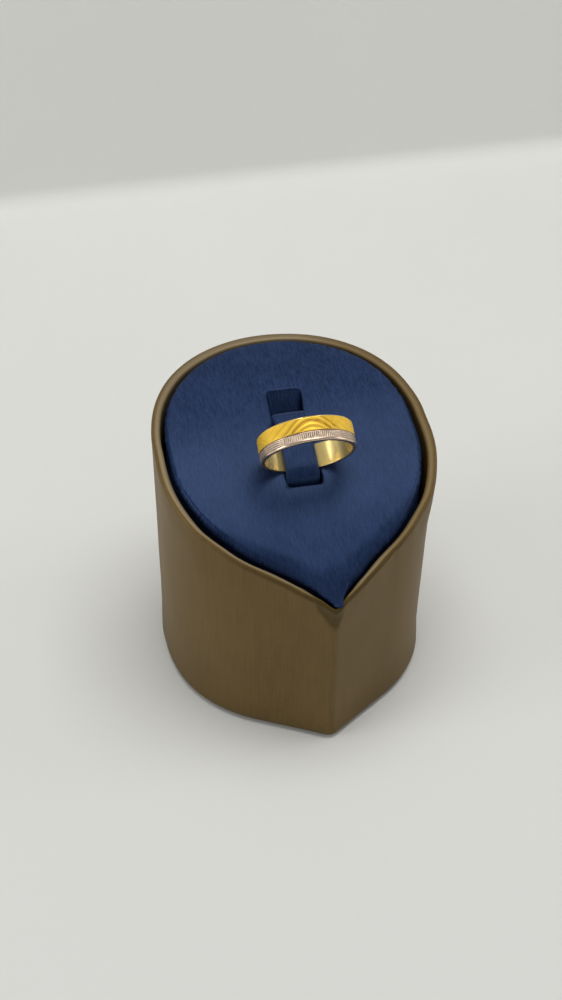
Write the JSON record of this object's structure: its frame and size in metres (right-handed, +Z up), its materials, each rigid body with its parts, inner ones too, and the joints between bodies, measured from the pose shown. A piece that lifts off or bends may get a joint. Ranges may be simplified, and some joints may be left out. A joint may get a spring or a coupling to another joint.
{
  "type": "two-tone ring on a teardrop display stand",
  "caption": "Yellow and white gold band held upright by a satin strap in the slot of a navy cushion, on a bronze teardrop stand with a sloping top.",
  "frame": {"origin": "centre of the stand's round back, on the underside of the base board", "axes": "+Z up; -Y towards the pointed corner, the low front; +X to the right of the front"},
  "size_m": [0.06, 0.0675, 0.0741],
  "materials": {
    "yellow_gold": "satin yellow gold with engraved arcs; the white gold strip is part of the same solid",
    "navy_strap": "navy satin over a springy strap",
    "navy_satin": "fine navy satin",
    "bronze_satin": "bronze satin cloth with fine upright threads",
    "base_board": "black felt paper"
  },
  "bodies": {
    "root": {"ring_band": "yellow_gold", "ring_clip": "navy_strap", "cushion": "navy_satin", "stand_shell": "bronze_satin", "stand_deck": "base_board", "stand_base": "base_board"}
  },
  "joints": []
}
